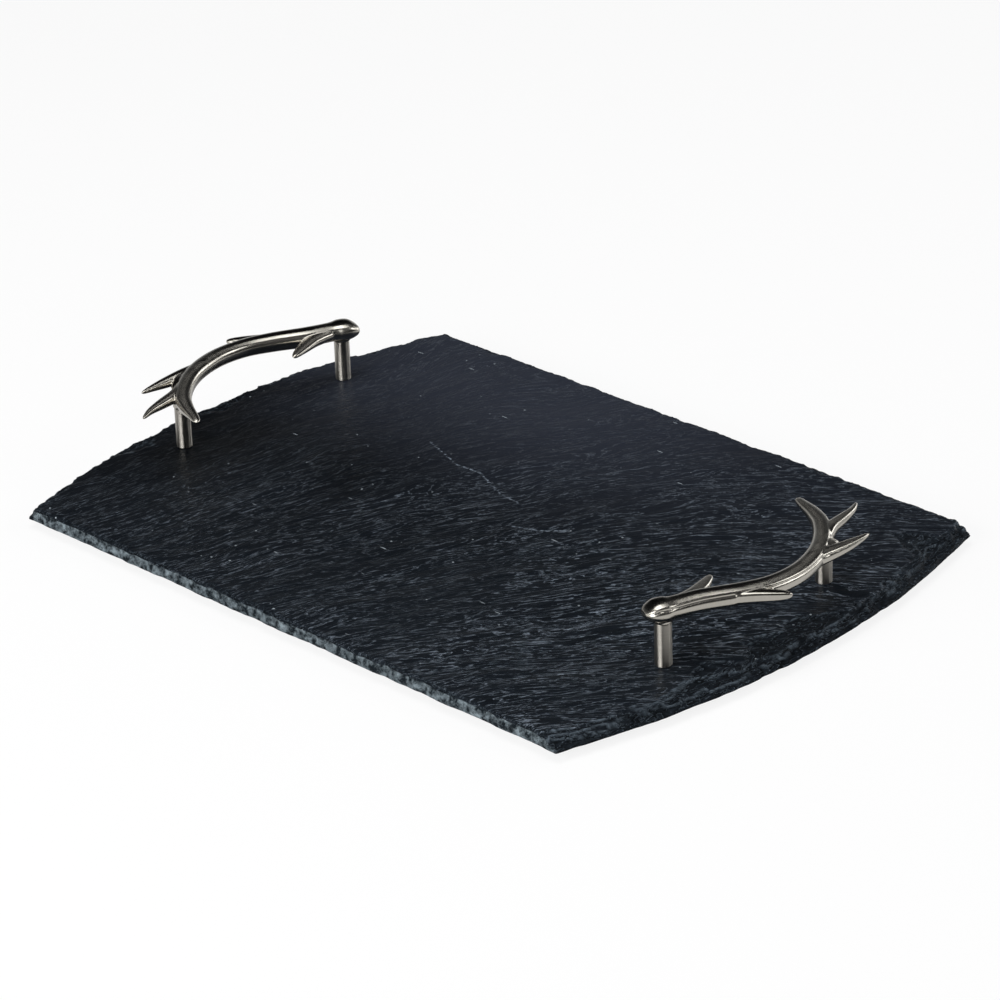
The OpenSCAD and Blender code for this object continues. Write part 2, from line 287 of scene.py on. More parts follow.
# The rim and all that lies 0.9 mm deep or more is freshly broken. The long sides' rim is crushed, and its
# paleness is partly painted light.
fresh = np.ones(len(points))
fresh[:rows_x * rows_y] = ease(broken.ravel() / 0.9)
fresh[-len(inner):] = 0
crushed_and_painted_light = np.zeros(len(points))
crushed_and_painted_light[rows_x * rows_y:-len(inner)] = np.tile(1 - on_end, wall_rows)
slate_mesh.attributes.new("crushed_and_painted_light", "FLOAT", "POINT").data.foreach_set("value", crushed_and_painted_light)
marked = marked_at_place(points[:, 0], points[:, 1])
slate_mesh.attributes.new("marked", "FLOAT", "POINT").data.foreach_set("value", marked)
# The lustre grows towards the back and the left. It sets the gloss, and a painted sheen in the colour.
lustre_and_sheen = ease((points[:, 1] + 20) / 120) * (0.25 + 0.75 * ease((110 - points[:, 0]) / 160))
slate_mesh.attributes.new("lustre", "FLOAT", "POINT").data.foreach_set("value", lustre_and_sheen)
# Painted highlights along the edges of the broken steps
rim_highlights = np.zeros(len(points))
rim_highlights[:rows_x * rows_y] = broken_rim_highlight.ravel()
slate_mesh.attributes.new("rim_highlights", "FLOAT", "POINT").data.foreach_set("value", rim_highlights)
slate_mesh.attributes.new("broken", "FLOAT", "POINT").data.foreach_set("value", fresh)


def line_share(line, width):
    """1 on a line through places on the top in mm, falling to 0 at that width from it."""
    best = np.full(len(points), 1e9)
    for (ax, ay), (bx, by) in zip(line[:-1], line[1:]):
        way = np.array([bx - ax, by - ay])
        t = np.clip(((points[:, :2] - [ax, ay]) @ way) / (way @ way), 0, 1)
        best = np.minimum(best, np.hypot(*(points[:, :2] - [ax, ay] - t[:, None] * way).T))
    return np.clip(1 - best / width, 0, 1) * (points[:, 2] > slate_foot + 3)


# A pale vein and a shorter one, as places on the top in mm
veins = [[(-70, 34), (-53, 28), (-44, 25), (-31, 26), (-11, 17), (3, 15)], [(16, -3), (28, 2), (37, 10)]]
vein_width = 1.8
vein = np.max([line_share(line, vein_width) for line in veins], axis=0)
slate_mesh.attributes.new("vein", "FLOAT", "POINT").data.foreach_set("value", vein)

slate_stone = bpy.data.materials.new("slate_riven")
slate_stone.use_nodes = True
tree = slate_stone.node_tree
tree.nodes.clear()
# Slate is a fine clay stone. Its split face is satin and nearly black. Broken layers stay as dark, and
# only the long sides, crushed by the knapping, are pale and dull, a paleness that is partly painted light.
grain_at = add(tree, "ShaderNodeAttribute", attribute_name="grain").outputs["Vector"]
broken_at = add(tree, "ShaderNodeAttribute", attribute_name="broken").outputs["Fac"]
crushed_and_painted_light_at = add(tree, "ShaderNodeAttribute", attribute_name="crushed_and_painted_light").outputs["Fac"]
vein_at = add(tree, "ShaderNodeAttribute", attribute_name="vein").outputs["Fac"]
# Thin layers end in wavy, nested lines: the steps of a noise some 50 mm long and 8 mm wide along the
# grain. Each step's lip gets a painted highlight, and a band of painted shade past it, where the layer
# darkens away.
layer_at = add(tree, "ShaderNodeMapping", {"Vector": grain_at, "Scale": (19, 125, 60)}).outputs["Vector"]
layers = add(tree, "ShaderNodeTexNoise", {
    "Vector": layer_at, "Scale": 1.0, "Detail": 6.0, "Roughness": 0.6, "Distortion": 0.45}).outputs["Fac"]
stack = add(tree, "ShaderNodeMath", {0: layers, 1: 12.0}, operation="MULTIPLY").outputs["Value"]
layer = add(tree, "ShaderNodeMath", {0: stack}, operation="FLOOR").outputs["Value"]
over_step = add(tree, "ShaderNodeMath", {0: stack}, operation="FRACT").outputs["Value"]
riser = add(tree, "ShaderNodeMapRange", {
    "Value": over_step, "From Max": 0.2}, interpolation_type="SMOOTHSTEP").outputs["Result"]
layer_height = add(tree, "ShaderNodeMath", {0: layer, 1: riser}, operation="ADD").outputs["Value"]
# Painted highlight on each lip and painted shade just past it, over the layer's own dark colour
lip_highlight_ramp = add(tree, "ShaderNodeValToRGB", {"Fac": over_step})
lip_highlight_ramp.color_ramp.elements[0].position = 0.0
lip_highlight_ramp.color_ramp.elements[0].color = linear("#0f1216")
lip_highlight_ramp.color_ramp.elements[1].position = 1.0
lip_highlight_ramp.color_ramp.elements[1].color = linear("#161b21")
for position, code in ((0.08, "#a0adbc"), (0.2, "#0a0c0e")):
    lip_highlight_ramp.color_ramp.elements.new(position).color = linear(code)
# The ground varies in patches some 80 mm long and 30 mm wide
patch_at = add(tree, "ShaderNodeMapping", {"Vector": grain_at, "Scale": (12, 34, 34)}).outputs["Vector"]
patches = add(tree, "ShaderNodeTexNoise", {"Vector": patch_at, "Scale": 1.0, "Detail": 3.0}).outputs["Fac"]
patch_ramp = add(tree, "ShaderNodeValToRGB", {"Fac": patches})
patch_ramp.color_ramp.elements[0].position = 0.35
patch_ramp.color_ramp.elements[0].color = linear("#090b0e")
patch_ramp.color_ramp.elements[1].position = 0.7
patch_ramp.color_ramp.elements[1].color = linear("#10141a")
lip_highlight_patches = add(tree, "ShaderNodeMapRange", {
    "Value": patches, "From Min": 0.36, "From Max": 0.58, "To Min": 0.35, "To Max": 1.0}).outputs["Result"]
# The right front of the board is the most marked, and its painted lip highlights are the strongest
marked_at = add(tree, "ShaderNodeAttribute", attribute_name="marked").outputs["Fac"]
lip_highlight_place = add(tree, "ShaderNodeMapRange", {
    "Value": marked_at, "To Min": 0.12, "To Max": 1.0}).outputs["Result"]
lip_highlight_here = add(tree, "ShaderNodeMath", {
    0: lip_highlight_patches, 1: lip_highlight_place}, operation="MULTIPLY").outputs["Value"]
# Fine grain, in flecks some 4 mm long and 1 mm wide, breaks up the painted lip highlights
fine_at = add(tree, "ShaderNodeMapping", {"Vector": grain_at, "Scale": (250, 1100, 600)}).outputs["Vector"]
fine = add(tree, "ShaderNodeTexNoise", {
    "Vector": fine_at, "Scale": 1.0, "Detail": 4.0, "Roughness": 0.65}).outputs["Fac"]
lip_highlight_grain = add(tree, "ShaderNodeMapRange", {
    "Value": fine, "From Min": 0.38, "From Max": 0.6, "To Min": 0.4, "To Max": 1.0}).outputs["Result"]
lip_highlight_share = add(tree, "ShaderNodeMath", {0: lip_highlight_here, 1: lip_highlight_grain}, operation="MULTIPLY").outputs["Value"]
# Painted light makes the right front a little paler, and a painted sheen makes the back left paler and bluer
painted_front_light = add(tree, "ShaderNodeMath", {0: marked_at, 1: 0.7}, operation="MULTIPLY").outputs["Value"]
ground_with_front_light = add(tree, "ShaderNodeMix", {
    "Factor": painted_front_light, "A": patch_ramp.outputs["Color"],
    "B": linear("#1c2127")}, data_type="RGBA").outputs["Result"]
lustre_and_sheen_at = add(tree, "ShaderNodeAttribute", attribute_name="lustre").outputs["Fac"]
painted_back_sheen = add(tree, "ShaderNodeMath", {0: lustre_and_sheen_at, 1: 0.75}, operation="MULTIPLY").outputs["Value"]
ground_with_painted_light = add(tree, "ShaderNodeMix", {
    "Factor": painted_back_sheen, "A": ground_with_front_light, "B": linear("#343843")}, data_type="RGBA").outputs["Result"]
plain_face = add(tree, "ShaderNodeMix", {
    "Factor": lip_highlight_share, "A": ground_with_painted_light, "B": lip_highlight_ramp.outputs["Color"]}, data_type="RGBA").outputs["Result"]
rim_highlights_at = add(tree, "ShaderNodeAttribute", attribute_name="rim_highlights").outputs["Fac"]
# Broken layers show as shards some 7 by 12 mm, each with a painted highlight along its rim over painted
# shadow
shard_place = add(tree, "ShaderNodeNewGeometry").outputs["Position"]
shard_at = add(tree, "ShaderNodeMapping", {
    "Vector": shard_place, "Scale": (150, 80, 300)}).outputs["Vector"]
shards = add(tree, "ShaderNodeTexNoise", {
    "Vector": shard_at, "Scale": 1.0, "Detail": 4.0, "Roughness": 0.55, "Distortion": 0.3}).outputs["Fac"]
shard_stack = add(tree, "ShaderNodeMath", {0: shards, 1: 8.0}, operation="MULTIPLY").outputs["Value"]
shard_floor = add(tree, "ShaderNodeMath", {0: shard_stack}, operation="FLOOR").outputs["Value"]
over_shard = add(tree, "ShaderNodeMath", {0: shard_stack}, operation="FRACT").outputs["Value"]
shard_riser = add(tree, "ShaderNodeMapRange", {
    "Value": over_shard, "From Max": 0.25}, interpolation_type="SMOOTHSTEP").outputs["Result"]
shard_height = add(tree, "ShaderNodeMath", {
    0: shard_floor, 1: shard_riser}, operation="ADD").outputs["Value"]
shard_painted_light = add(tree, "ShaderNodeValToRGB", {"Fac": over_shard})
shard_painted_light.color_ramp.elements[0].position = 0.0
shard_painted_light.color_ramp.elements[0].color = linear("#101317")
shard_painted_light.color_ramp.elements[1].position = 1.0
shard_painted_light.color_ramp.elements[1].color = linear("#1b2026")
for position, code in ((0.07, "#535d66"), (0.2, "#050607")):
    shard_painted_light.color_ramp.elements.new(position).color = linear(code)
under_face = add(tree, "ShaderNodeMix", {
    "Factor": broken_at, "A": plain_face,
    "B": shard_painted_light.outputs["Color"]}, data_type="RGBA").outputs["Result"]
# Painted highlights along the edges of the broken steps
rim_highlight_part = add(tree, "ShaderNodeMapRange", {
    "Value": layers, "From Min": 0.42, "From Max": 0.6}).outputs["Result"]
rim_highlight_share = add(tree, "ShaderNodeMath", {0: rim_highlights_at, 1: rim_highlight_part}, operation="MULTIPLY").outputs["Value"]
face_colour = add(tree, "ShaderNodeMix", {
    "Factor": rim_highlight_share, "A": under_face, "B": linear("#59636c")}, data_type="RGBA").outputs["Result"]
# Knapped faces on the long sides, crushed to a pale grey in chips of 1 to 3 mm; the paleness is partly
# painted light
chip_at = add(tree, "ShaderNodeNewGeometry").outputs["Position"]
chips = add(tree, "ShaderNodeTexNoise", {
    "Vector": chip_at, "Scale": 300.0, "Detail": 4.0, "Roughness": 0.6}).outputs["Fac"]
chip_ramp = add(tree, "ShaderNodeValToRGB", {"Fac": chips})
chip_ramp.color_ramp.elements[0].position = 0.4
chip_ramp.color_ramp.elements[0].color = linear("#151b1f")
chip_ramp.color_ramp.elements[1].position = 0.66
chip_ramp.color_ramp.elements[1].color = linear("#7a858b")
with_chips = add(tree, "ShaderNodeMix", {
    "Factor": crushed_and_painted_light_at, "A": face_colour,
    "B": chip_ramp.outputs["Color"]}, data_type="RGBA").outputs["Result"]
# Pale specks of mica and quartz up to a millimetre wide, and short scratches
specks = add(tree, "ShaderNodeTexVoronoi", {"Vector": chip_at, "Scale": 240.0, "Randomness": 1.0})
speck_size = add(tree, "ShaderNodeSeparateColor", {"Color": specks.outputs["Color"]})
speck_reach = add(tree, "ShaderNodeMapRange", {
    "Value": speck_size.outputs["Red"], "From Min": 0.86, "From Max": 1.0, "To Min": 0.0,
    "To Max": 0.13}).outputs["Result"]
speck = add(tree, "ShaderNodeMath", {
    0: specks.outputs["Distance"], 1: speck_reach}, operation="LESS_THAN").outputs["Value"]
scratch_at = add(tree, "ShaderNodeMapping", {
    "Vector": chip_at, "Rotation": (0, 0, 0.5), "Scale": (55, 420, 1)}).outputs["Vector"]
cells = add(tree, "ShaderNodeTexVoronoi", {
    "Vector": scratch_at, "Scale": 1.0, "Randomness": 1.0}, voronoi_dimensions="2D")
cell_parts = add(tree, "ShaderNodeSeparateColor", {"Color": cells.outputs["Color"]})
scratch_reach = add(tree, "ShaderNodeMapRange", {
    "Value": cell_parts.outputs["Red"], "From Min": 0.98, "From Max": 1.0, "To Min": 0.0,
    "To Max": 0.11}).outputs["Result"]
scratch = add(tree, "ShaderNodeMath", {
    0: cells.outputs["Distance"], 1: scratch_reach}, operation="LESS_THAN").outputs["Value"]
mark = add(tree, "ShaderNodeMath", {0: speck, 1: scratch}, operation="MAXIMUM").outputs["Value"]
with_specks = add(tree, "ShaderNodeMix", {
    "Factor": mark, "A": with_chips, "B": linear("#98a1a8")}, data_type="RGBA").outputs["Result"]
vein_noise = add(tree, "ShaderNodeTexNoise", {
    "Vector": chip_at, "Scale": 700.0, "Detail": 2.0}).outputs["Fac"]
vein_part = add(tree, "ShaderNodeMath", {0: vein_at, 1: vein_noise}, operation="MULTIPLY").outputs["Value"]
vein_show = add(tree, "ShaderNodeMapRange", {
    "Value": vein_part, "From Min": 0.33, "From Max": 0.52, "To Min": 0.0, "To Max": 0.6}).outputs["Result"]
colour = add(tree, "ShaderNodeMix", {
    "Factor": vein_show, "A": with_specks, "B": linear("#8f9ba8")}, data_type="RGBA").outputs["Result"]
roughness = add(tree, "ShaderNodeMapRange", {
    "Value": layers, "From Min": 0.3, "From Max": 0.7, "To Min": 0.28, "To Max": 0.38}).outputs["Result"]
duller = add(tree, "ShaderNodeMix", {
    "Factor": broken_at, "A": roughness, "B": 0.68}, data_type="FLOAT").outputs["Result"]
# Each layer is 0.2 mm thick and each shard 0.6 mm, and the fine grain stands up by hundredths
layer_bump = add(tree, "ShaderNodeBump", {
    "Strength": 0.9, "Distance": 0.00022, "Height": layer_height}).outputs["Normal"]
fine_bump = add(tree, "ShaderNodeBump", {
    "Strength": 0.5, "Distance": 0.0003, "Height": fine, "Normal": layer_bump}).outputs["Normal"]
shard_bump = add(tree, "ShaderNodeBump", {
    "Strength": broken_at, "Distance": 0.0006, "Height": shard_height, "Normal": fine_bump}).outputs["Normal"]
chip_bump = add(tree, "ShaderNodeBump", {
    "Strength": crushed_and_painted_light_at, "Distance": 0.0008, "Height": chips, "Normal": shard_bump}).outputs["Normal"]
# The split face has a faint blue lustre, strongest towards the back
gloss = add(tree, "ShaderNodeMapRange", {
    "Value": lustre_and_sheen_at, "To Min": 0.08, "To Max": 0.2}).outputs["Result"]
stone = add(tree, "ShaderNodeBsdfPrincipled", {
    "Base Color": colour, "Roughness": duller, "Normal": chip_bump, "IOR": 1.5, "Specular IOR Level": gloss,
    "Specular Tint": linear("#dcecff")})
add(tree, "ShaderNodeOutputMaterial", {"Surface": stone.outputs["BSDF"]})

slate = bpy.data.objects.new("slate_board_riven", slate_mesh)
bpy.context.scene.collection.objects.link(slate)
slate_mesh.materials.append(slate_stone)
for polygon in slate_mesh.polygons:
    polygon.use_smooth = True
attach(slate, "root")
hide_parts("slate_board")


# Feet. Four moulded rubber buttons, stuck to the underside near the corners, keep the slate and its
# screw heads off the table.
foot_rubber = bpy.data.materials.new("rubber_moulded")
foot_rubber.use_nodes = True
tree = foot_rubber.node_tree
tree.nodes.clear()
# Moulded rubber is matt, with a fine pebble of some 0.4 mm and faint patches of paler dust
place = add(tree, "ShaderNodeNewGeometry").outputs["Position"]
pebble = add(tree, "ShaderNodeTexNoise", {"Vector": place, "Scale": 2200.0, "Detail": 2.0}).outputs["Fac"]
dust = add(tree, "ShaderNodeTexNoise", {"Vector": place, "Scale": 260.0, "Detail": 3.0}).outputs["Fac"]
shade = add(tree, "ShaderNodeMix", {
    "Factor": dust, "A": linear("#17181a"), "B": linear("#2c2d30")}, data_type="RGBA").outputs["Result"]
wear = add(tree, "ShaderNodeMapRange", {"Value": dust, "To Min": 0.62, "To Max": 0.85}).outputs["Result"]
bump = add(tree, "ShaderNodeBump", {
    "Strength": 0.4, "Distance": 0.0001, "Height": pebble}).outputs["Normal"]
rubber = add(tree, "ShaderNodeBsdfPrincipled", {
    "Base Color": shade, "Roughness": wear, "Normal": bump, "IOR": 1.52})
add(tree, "ShaderNodeOutputMaterial", {"Surface": rubber.outputs["BSDF"]})
for name in ("left_front_foot", "right_front_foot", "right_rear_foot", "left_rear_foot"):
    nodes[name].data.materials.clear()
    nodes[name].data.materials.append(foot_rubber)


# Screws, studs and washers. Zinc-plated pan-head screws come up through the slate into the posts, on
# nylon washers that keep the heads from splitting the stone. Short studs join posts and antlers.
zinc_plate = bpy.data.materials.new("zinc_plated_steel")
zinc_plate.use_nodes = True
tree = zinc_plate.node_tree
tree.nodes.clear()
# Zinc plate is bright, slightly blue and a little cloudy, with turning marks some 0.3 mm apart
place = add(tree, "ShaderNodeNewGeometry").outputs["Position"]
cloud = add(tree, "ShaderNodeTexNoise", {"Vector": place, "Scale": 500.0, "Detail": 3.0}).outputs["Fac"]
turned_at = add(tree, "ShaderNodeMapping", {"Vector": place, "Scale": (1, 1, 3000)}).outputs["Vector"]
turned = add(tree, "ShaderNodeTexNoise", {"Vector": turned_at, "Scale": 1.0, "Detail": 2.0}).outputs["Fac"]
shade = add(tree, "ShaderNodeMix", {
    "Factor": cloud, "A": linear("#a9abaa"), "B": linear("#c3c7c9")}, data_type="RGBA").outputs["Result"]
wear = add(tree, "ShaderNodeMapRange", {"Value": cloud, "To Min": 0.22, "To Max": 0.42}).outputs["Result"]
bump = add(tree, "ShaderNodeBump", {
    "Strength": 0.25, "Distance": 0.00005, "Height": turned}).outputs["Normal"]
zinc = add(tree, "ShaderNodeBsdfPrincipled", {
    "Base Color": shade, "Metallic": 1.0, "Roughness": wear, "Normal": bump})
add(tree, "ShaderNodeOutputMaterial", {"Surface": zinc.outputs["BSDF"]})
for name in ("fixing_screws", "post_studs"):
    nodes[name].data.materials.clear()
    nodes[name].data.materials.append(zinc_plate)

nylon = bpy.data.materials.new("nylon_stamped")
nylon.use_nodes = True
tree = nylon.node_tree
tree.nodes.clear()
# Natural nylon is a waxy off-white, and faintly mottled where it was stamped
place = add(tree, "ShaderNodeNewGeometry").outputs["Position"]
mottle = add(tree, "ShaderNodeTexNoise", {"Vector": place, "Scale": 350.0, "Detail": 3.0}).outputs["Fac"]
shade = add(tree, "ShaderNodeMix", {
    "Factor": mottle, "A": linear("#d2cec2"), "B": linear("#e6e3d9")}, data_type="RGBA").outputs["Result"]
wear = add(tree, "ShaderNodeMapRange", {"Value": mottle, "To Min": 0.4, "To Max": 0.6}).outputs["Result"]
bump = add(tree, "ShaderNodeBump", {
    "Strength": 0.2, "Distance": 0.0001, "Height": mottle}).outputs["Normal"]
waxy = add(tree, "ShaderNodeBsdfPrincipled", {
    "Base Color": shade, "Roughness": wear, "Normal": bump, "IOR": 1.53})
add(tree, "ShaderNodeOutputMaterial", {"Surface": waxy.outputs["BSDF"]})
nodes["screw_washers"].data.materials.clear()
nodes["screw_washers"].data.materials.append(nylon)


# Posts. Four turned bars in satin nickel, chamfered at both ends. A screw from below holds each one on
# the slate, and a stud in its top holds the antler.
post_nickel = bpy.data.materials.new("nickel_turned_satin")
post_nickel.use_nodes = True
tree = post_nickel.node_tree
tree.nodes.clear()
# Satin nickel is a warm grey. Turning left fine rings round the bar, drawn 0.4 mm apart so that they show.
# They spread each light along the bar.
place = add(tree, "ShaderNodeNewGeometry").outputs["Position"]
rings_at = add(tree, "ShaderNodeMapping", {"Vector": place, "Scale": (60, 60, 2400)}).outputs["Vector"]
rings = add(tree, "ShaderNodeTexNoise", {
    "Vector": rings_at, "Scale": 1.0, "Detail": 3.0, "Roughness": 0.6}).outputs["Fac"]
shade = add(tree, "ShaderNodeMix", {
    "Factor": rings, "A": linear("#a39f97"), "B": linear("#bcb8b0")}, data_type="RGBA").outputs["Result"]
wear = add(tree, "ShaderNodeMapRange", {
    "Value": rings, "From Min": 0.3, "From Max": 0.7, "To Min": 0.31, "To Max": 0.37}).outputs["Result"]
bump = add(tree, "ShaderNodeBump", {
    "Strength": 0.1, "Distance": 0.00003, "Height": rings}).outputs["Normal"]
round_bar = add(tree, "ShaderNodeTangent", direction_type="RADIAL", axis="Z").outputs["Tangent"]
nickel = add(tree, "ShaderNodeBsdfPrincipled", {
    "Base Color": shade, "Metallic": 1.0, "Roughness": wear, "Normal": bump, "Tangent": round_bar,
    "Anisotropic": 1.0, "Anisotropic Rotation": 0.25})
add(tree, "ShaderNodeOutputMaterial", {"Surface": nickel.outputs["BSDF"]})
for name in post_names:
    nodes[name].data.materials.clear()
    nodes[name].data.materials.append(post_nickel)


# Antlers. Two castings of one pattern in satin nickel: a curved beam with a burr at its root, a brow
# spike, a middle tine and two prongs, blended where they meet. A crease runs along the outer side, and
# studs hold each casting on its posts.
post_pitch, beam_w, beam_t = 96.0, 8.8, 8.0
# Each row gives a place along and out from the line of the posts, as shares of their pitch, then the
# half width, half thickness and lift, as shares of half the beam's width and thickness.
beam_rows = [
    (-0.072, -0.040, 0.55, 0.30, -0.10), (-0.058, -0.034, 1.10, 0.70, -0.08), (-0.030, -0.020, 1.40, 1.08, 0),
    (0.008, -0.002, 1.42, 1.18, 0), (0.052, 0.016, 1.16, 1.06, 0), (0.167, 0.060, 1.11, 1.12, 0),
    (0.312, 0.137, 1.07, 1.09, 0), (0.448, 0.187, 1.02, 1.03, 0), (0.604, 0.195, 1.00, 1.00, 0),
    (0.760, 0.154, 0.96, 0.99, 0), (0.896, 0.077, 0.89, 0.95, 0), (1.012, -0.026, 0.86, 0.87, 0),
    (1.074, -0.120, 0.73, 0.72, 0), (1.116, -0.212, 0.53, 0.46, 0), (1.138, -0.258, 0.38, 0.28, 0),
    (1.146, -0.275, 0.10, 0.08, 0)]
brow_rows = [
    (0.083, 0.010, 1.05, 0.74, 0), (0.177, 0.002, 0.86, 0.64, -0.03), (0.270, -0.026, 0.68, 0.48, -0.05),
    (0.325, -0.048, 0.48, 0.34, -0.06), (0.352, -0.060, 0.30, 0.24, -0.06),
    (0.364, -0.066, 0.08, 0.08, -0.06)]
mid_rows = [
    (0.283, 0.143, 0.70, 0.62, 0.03), (0.342, 0.194, 0.68, 0.60, 0.05), (0.409, 0.260, 0.56, 0.50, 0),
    (0.440, 0.295, 0.34, 0.33, 0), (0.452, 0.302, 0.10, 0.10, 0.02)]
inner_prong_rows = [
    (0.927, 0.073, 0.62, 0.66, 0), (1.021, 0.023, 0.66, 0.68, 0), (1.120, 0, 0.55, 0.55, 0),
    (1.203, -0.020, 0.36, 0.38, 0), (1.260, -0.046, 0.20, 0.22, 0), (1.280, -0.058, 0.06, 0.06, 0)]
outer_prong_rows = [
    (0.708, 0.160, 0.82, 0.85, 0), (0.833, 0.170, 0.73, 0.78, -0.06), (0.937, 0.175, 0.59, 0.60, -0.12),
    (1.021, 0.175, 0.39, 0.38, -0.12), (1.073, 0.172, 0.22, 0.22, -0.12), (1.092, 0.171, 0.06, 0.06, -0.12)]
web_rows = [
    (0.812, 0.128, 0.88, 0.80, 0), (0.896, 0.110, 0.98, 0.70, -0.05), (0.941, 0.104, 0.66, 0.45, -0.25),
    (0.961, 0.102, 0.10, 0.10, -0.35)]
# The beam's section, outwards and up, as shares of its half width and half thickness. A crease runs
# along its upper corner, with a shallow groove under it.
section = [
    (1.00, -0.05), (0.98, 0.24), (0.92, 0.36), (0.79, 0.46), (0.87, 0.58), (0.70, 0.78),
    (0.36, 0.93), (0, 0.98), (-0.42, 0.92), (-0.82, 0.64), (-1.00, 0.10), (-0.88, -0.48),
    (-0.48, -0.88), (0, -1.00), (0.50, -0.88), (0.88, -0.50)]
# The middle tine is a blade with a flat, upright outer face
blade = [
    (1.00, -0.45), (1.00, 0), (1.00, 0.50), (0.90, 0.74), (0.60, 0.92), (0, 1.00),
    (-0.55, 0.85), (-0.92, 0.50), (-1.00, 0), (-0.88, -0.48), (-0.48, -0.88), (0, -1.00),
    (0.60, -0.92), (0.90, -0.72)]


def curve_through(rows, steps, closed=False):
    """Points of a smooth curve through rows of numbers."""
    rows = np.asarray(rows, float)
    before = np.vstack([rows[-1:] if closed else rows[:1], rows, rows[:2] if closed else rows[-1:]])
    spans = len(rows) if closed else len(rows) - 1
    made = []
    for i in range(spans):
        a, b, c, d = before[i:i + 4]
        for t in np.arange(steps) / steps:
            bend = (2 * a - 5 * b + 4 * c - d) * t * t / 2
            made.append(b + (c - a) * t / 2 + bend + (3 * b - a - 3 * c + d) * t ** 3 / 2)
    if not closed:
        made.append(rows[-1])
    return np.array(made)


antler_bm = bmesh.new()
spines = []
# A limb's pointed end still counts as 0.8 mm wide each way when points look for their nearest limb
least_half = 0.8
limbs = [(beam_rows, section), (brow_rows, section), (mid_rows, blade), (inner_prong_rows, section),
         (outer_prong_rows, section), (web_rows, section)]
for rows, outline in limbs:
    section_points = curve_through(outline, 4, closed=True)
    sized = [(out * post_pitch, along * post_pitch, a * beam_w / 2, b * beam_t / 2, lift * beam_t / 2)
             for along, out, a, b, lift in rows]
    path = curve_through(sized, 10)
    way = np.gradient(path[:, :2], axis=0)
    way /= np.linalg.norm(way, axis=1)[:, None]
    travelled = np.concatenate([[0], np.cumsum(np.linalg.norm(np.diff(path[:, :2], axis=0), axis=1))])
    spines.append(np.column_stack([path[:, :2], travelled, np.maximum(path[:, 2], least_half), way]))
    rings_made = []
    for (x, y, a, b, lift), (wx, wy) in zip(path, way):
        rings_made.append([
            antler_bm.verts.new(((x + wy * out * a) * mm, (y - wx * out * a) * mm, (lift + up * b) * mm))
            for out, up in section_points])
    for low, high in zip(rings_made[:-1], rings_made[1:]):
        for i in range(len(low)):
            j = (i + 1) % len(low)
            antler_bm.faces.new((low[i], low[j], high[j], high[i]))
    antler_bm.faces.new(rings_made[0][::-1])
    antler_bm.faces.new(rings_made[-1])
# Round seats under the casting meet the posts
seat_drop, seat_r = 4.9, 4.0
for along in (0, post_pitch):
    bmesh.ops.create_cone(
        antler_bm, cap_ends=True, segments=64, radius1=seat_r * mm, radius2=seat_r * mm,
        depth=seat_drop * mm, matrix=Matrix.Translation((0, along * mm, -seat_drop / 2 * mm)))
bmesh.ops.recalc_face_normals(antler_bm, faces=antler_bm.faces)
rough_mesh = bpy.data.meshes.new("antler_limbs")
antler_bm.to_mesh(rough_mesh)
antler_bm.free()
# One skin over all the limbs, smoothed so that their roots blend as in a casting
skin_step, smooth_share, smooth_rounds = 0.265 * mm, 0.5, 11
casting = bpy.data.objects.new("antler_limbs", rough_mesh)
bpy.context.scene.collection.objects.link(casting)
remesh = casting.modifiers.new("one_casting", "REMESH")
remesh.mode = "VOXEL"
remesh.voxel_size = skin_step
blend = casting.modifiers.new("blended_roots", "SMOOTH")
blend.factor = smooth_share
blend.iterations = smooth_rounds
bpy.context.view_layer.update()
antler_mesh = bpy.data.meshes.new_from_object(casting.evaluated_get(bpy.context.evaluated_depsgraph_get()))
bpy.data.objects.remove(casting)

# How far each point lies along the beam and across it, in mm, for the brushing, and which way its own
# limb runs. Both are evened out between neighbours, so that no seam shows where limbs meet.
where = np.zeros(len(antler_mesh.vertices) * 3)
antler_mesh.vertices.foreach_get("co", where)
where = where.reshape(-1, 3) / mm


def nearest_on(spine, by_width):
    """For each point, the nearest row of a spine, by its distance or by its distance over the width."""
    batch = 4000
    rows = np.zeros(len(where), int)
    for first in range(0, len(where), batch):
        part = where[first:first + batch, None, :2] - spine[None, :, :2]
        distance = np.hypot(part[..., 0], part[..., 1])
        rows[first:first + batch] = (distance / spine[None, :, 3] if by_width else distance).argmin(1)
    return spine[rows]


beam_row, limb_row = nearest_on(spines[0], False), nearest_on(np.vstack(spines), True)
off = where[:, :2] - beam_row[:, :2]
fields = np.column_stack([
    beam_row[:, 2] + (off * beam_row[:, 4:6]).sum(1),
    off[:, 0] * beam_row[:, 5] - off[:, 1] * beam_row[:, 4],
    where[:, 2], limb_row[:, 4:6]])
ends = np.zeros(len(antler_mesh.edges) * 2, int)
antler_mesh.edges.foreach_get("vertices", ends)
ends = np.concatenate([ends.reshape(-1, 2), ends.reshape(-1, 2)[:, ::-1]])
neighbours = np.bincount(ends[:, 0], minlength=len(where))
even_rounds = 14
for _ in range(even_rounds):
    for column in range(fields.shape[1]):
        around = np.bincount(ends[:, 0], fields[ends[:, 1], column], minlength=len(where)) / neighbours
        fields[:, column] = (fields[:, column] + around) / 2
brush = (fields[:, :3] * mm).ravel()
antler_mesh.attributes.new("brush", "FLOAT_VECTOR", "POINT").data.foreach_set("vector", brush)
limb_way = np.column_stack([fields[:, 3:], np.zeros(len(where))])
antler_mesh.attributes.new("limb_way", "FLOAT_VECTOR", "POINT").data.foreach_set("vector", limb_way.ravel())
for polygon in antler_mesh.polygons:
    polygon.use_smooth = True

antler_nickel = bpy.data.materials.new("nickel_cast_brushed")
antler_nickel.use_nodes = True
tree = antler_nickel.node_tree
tree.nodes.clear()
